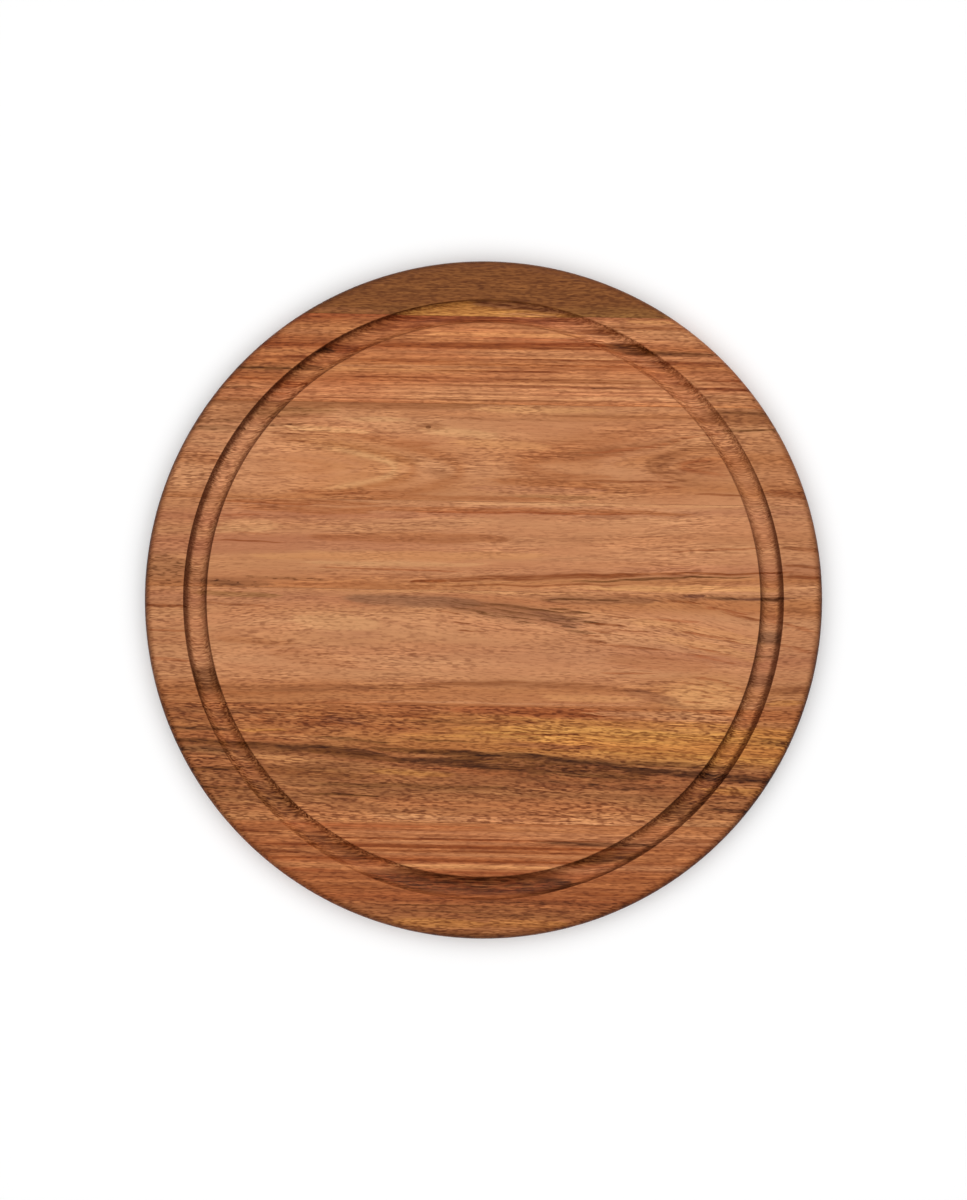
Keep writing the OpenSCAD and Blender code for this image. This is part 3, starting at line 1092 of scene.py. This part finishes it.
def arc(centre_r, centre_z, radius, start, end, steps):
    """Points of an arc in the board's section, from one angle to another, both in radians."""
    angles = [start + (end - start) * i / steps for i in range(steps + 1)]
    return [(centre_r + radius * math.cos(a), centre_z + radius * math.sin(a)) for a in angles]


def board_section():
    """Half the board's section from the rim of the serving disc, over the groove, to the underside."""
    bit_r = ((GROOVE_W / 2) ** 2 + GROOVE_DEPTH**2) / (2 * GROOVE_DEPTH)
    groove_mid = BOARD_R - RIM_W - GROOVE_W / 2
    groove_z = BOARD_T + bit_r - GROOVE_DEPTH
    lip_z = BOARD_T - LIP_R
    reach = math.sqrt((bit_r + LIP_R) ** 2 - (groove_z - lip_z) ** 2)
    lean = math.atan2(groove_z - lip_z, reach)
    up, down = math.pi / 2, -math.pi / 2
    points = arc(groove_mid - reach, lip_z, LIP_R, up, lean, LIP_STEPS)
    points += arc(groove_mid, groove_z, bit_r, math.pi + lean, 2 * math.pi - lean, GROOVE_STEPS)[1:-1]
    points += arc(groove_mid + reach, lip_z, LIP_R, math.pi - lean, up, LIP_STEPS)
    points += arc(BOARD_R - EDGE_R, BOARD_T - EDGE_R, EDGE_R, up, 0, EDGE_STEPS)
    points += arc(BOARD_R - EDGE_R, EDGE_R, EDGE_R, 0, down, EDGE_STEPS)
    return points


def turned_board():
    """The whole board as one closed mesh, turned from its section."""
    mesh = bmesh.new()
    rings = []
    for r, z in board_section():
        turns = [2 * math.pi * i / TURN_STEPS for i in range(TURN_STEPS)]
        rings.append([mesh.verts.new((r * math.cos(a), r * math.sin(a), z)) for a in turns])
    for inner, outer in zip(rings, rings[1:]):
        for i in range(TURN_STEPS):
            j = (i + 1) % TURN_STEPS
            mesh.faces.new((inner[i], outer[i], outer[j], inner[j]))
    mesh.faces.new(rings[0])
    mesh.faces.new(reversed(rings[-1]))
    return mesh


def slice_of(board, front, back):
    """A closed slice of the board between two places across the grain."""
    mesh = board.copy()
    for y, outward in ((front, -1), (back, 1)):
        if abs(y) >= BOARD_R - CUT_SLACK:
            continue
        whole = mesh.verts[:] + mesh.edges[:] + mesh.faces[:]
        bmesh.ops.bisect_plane(mesh, geom=whole, dist=CUT_DIST, clear_outer=True,
                               plane_co=(0, y, 0), plane_no=(0, outward, 0))
        rim = [e for e in mesh.edges if e.is_boundary]
        bmesh.ops.holes_fill(mesh, edges=rim, sides=0)
    bmesh.ops.recalc_face_normals(mesh, faces=mesh.faces[:])
    return mesh


# The key light shines on the board alone, so the floor keeps the even shadow of the light overhead
LIT_BY_KEY = bpy.data.collections.new("lit by the key")


def piece(name, node, board, material):
    """One replaced CAD node as a fine mesh with its material."""
    low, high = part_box(node)
    cut = slice_of(board, low.y, high.y)
    data = bpy.data.meshes.new(name)
    cut.to_mesh(data)
    cut.free()
    for polygon in data.polygons:
        polygon.use_smooth = True
    data.set_sharp_from_angle(angle=SHARP_ANGLE)
    data.materials.append(material)
    made = bpy.data.objects.new(name, data)
    bpy.context.scene.collection.objects.link(made)
    LIT_BY_KEY.objects.link(made)
    weighted = made.modifiers.new("flat faces stay flat", "WEIGHTED_NORMAL")
    weighted.keep_sharp = True
    weighted.weight = FLAT_WEIGHT
    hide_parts(node)
    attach(made, "root")
    return made


board = turned_board()
for number in range(1, STAVE_COUNT + 1):
    node = f"stave_{number}"
    low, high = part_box(node)
    material = wood(f"wood_{number}", FIGURES[number - 1], low.y / MM, high.y / MM, number)
    made = piece(f"wood_stave_{number}", node, board, material)
glue = glue_material()
for number in range(1, JOINT_COUNT + 1):
    made = piece(f"glue_film_{number}", f"glue_line_{number}", board, glue)
board.free()


# The floor: white to the camera, with the board's soft shadow on it
FLOOR_HALF = 3.0
# A hair above the underside, so that a view from below shows the wood and not the floor
FLOOR_Z = 0.1 * MM
FLOOR_ALBEDO = 0.9
FLOOR_GLOW = 0.06
# Where the lamps no longer reach it, far from the board, the floor glows white by itself
FLOOR_FAR = (0.5, 1.8)


def floor_material():
    material, g = new_material("floor")
    white = (FLOOR_ALBEDO, FLOOR_ALBEDO, FLOOR_ALBEDO, 1)
    paint = g.add("ShaderNodeBsdfDiffuse", {"Color": white}).outputs[0]
    rays = g.add("ShaderNodeLightPath").outputs
    mirrored = g.math("MAXIMUM", rays["Is Glossy Ray"], rays["Is Transmission Ray"])
    seen = g.math("MAXIMUM", rays["Is Camera Ray"], mirrored)
    place = g.add("ShaderNodeTexCoord").outputs["Object"]
    away = g.add("ShaderNodeVectorMath", {0: place}, operation="LENGTH").outputs["Value"]
    strength = g.scaled(g.smooth(away, *FLOOR_FAR), 1.0 - FLOOR_GLOW, FLOOR_GLOW)
    glow = g.add("ShaderNodeEmission", {"Strength": g.times(seen, strength)}).outputs[0]
    both = g.add("ShaderNodeAddShader", {0: paint, 1: glow}).outputs[0]
    g.add("ShaderNodeOutputMaterial", {"Surface": both})
    return material


# Only the floor is lit by its own lamp, so that the shadow is deep and the wood isn't overlit
LIT_BY_WASH = bpy.data.collections.new("lit by the wash")


def add_floor():
    data = bpy.data.meshes.new("floor")
    half = FLOOR_HALF
    corners = [(-half, -half), (half, -half), (half, half), (-half, half)]
    data.from_pydata([(x, y, FLOOR_Z) for x, y in corners], [], [(0, 1, 2, 3)])
    data.materials.append(floor_material())
    floor = bpy.data.objects.new("floor", data)
    bpy.context.scene.collection.objects.link(floor)
    LIT_BY_WASH.objects.link(floor)


WORLD_LIGHT = 0.1


def add_world():
    world = bpy.data.worlds.new("studio")
    world.use_nodes = True
    world.node_tree.nodes.clear()
    g = Graph(world.node_tree)
    rays = g.add("ShaderNodeLightPath").outputs
    seen = g.math("MAXIMUM", rays["Is Camera Ray"], rays["Is Transmission Ray"])
    strength = g.scaled(seen, 1.0 - WORLD_LIGHT, WORLD_LIGHT)
    background = g.add("ShaderNodeBackground", {"Color": (1, 1, 1, 1), "Strength": strength}).outputs[0]
    g.add("ShaderNodeOutputWorld", {"Surface": background})
    bpy.context.scene.world = world


@dataclass
class Lamp:
    """An area light that looks at the board. Where lit is given, it shines on that collection alone."""

    name: str
    place: Vector
    shape: str
    size: float
    power: float
    lit: bpy.types.Collection = None


LAMPS = [
    # A round softbox overhead, a softer key from the back, and a wide wash for the floor
    Lamp("overhead", Vector((0, 0, 1.5)), "DISK", 2.8, 23.0),
    Lamp("key", Vector((0, 2.4, 2.1)), "SQUARE", 2.4, 53.0, LIT_BY_KEY),
    Lamp("wash", Vector((0, 0, 1.6)), "DISK", 4.4, 30.5, LIT_BY_WASH),
    # The floor keeps this one from all but the underside, for views from below
    Lamp("below", Vector((0, 0, -1.5)), "DISK", 2.8, 34.0),
]


def add_light(lamp):
    data = bpy.data.lights.new(lamp.name, "AREA")
    data.shape = lamp.shape
    data.size = lamp.size
    data.energy = lamp.power
    made = bpy.data.objects.new(lamp.name, data)
    made.location = lamp.place
    made.rotation_euler = (-lamp.place).to_track_quat("-Z", "Y").to_euler()
    bpy.context.scene.collection.objects.link(made)
    if lamp.lit is not None:
        made.light_linking.receiver_collection = lamp.lit


# The camera looks straight down, from where the board is as large in the frame as in the photograph
LENS = 85.0
SENSOR = 36.0
FRAME_LONG_PX = 1200
BOARD_R_PX = 338.6
CAMERA_ROLL = math.radians(0.9)


def add_camera():
    data = bpy.data.cameras.new("camera")
    data.lens = LENS
    data.sensor_width = SENSOR
    data.sensor_fit = "AUTO"
    widest_z = BOARD_T - EDGE_R
    distance = BOARD_R * LENS / (BOARD_R_PX * SENSOR / FRAME_LONG_PX)
    camera = bpy.data.objects.new("camera", data)
    camera.location = (0, 0, widest_z + distance)
    camera.rotation_euler = (0, 0, CAMERA_ROLL)
    bpy.context.scene.collection.objects.link(camera)
    bpy.context.scene.camera = camera


add_floor()
add_world()
for lamp in LAMPS:
    add_light(lamp)
add_camera()
bpy.context.scene.view_settings.view_transform = "Standard"
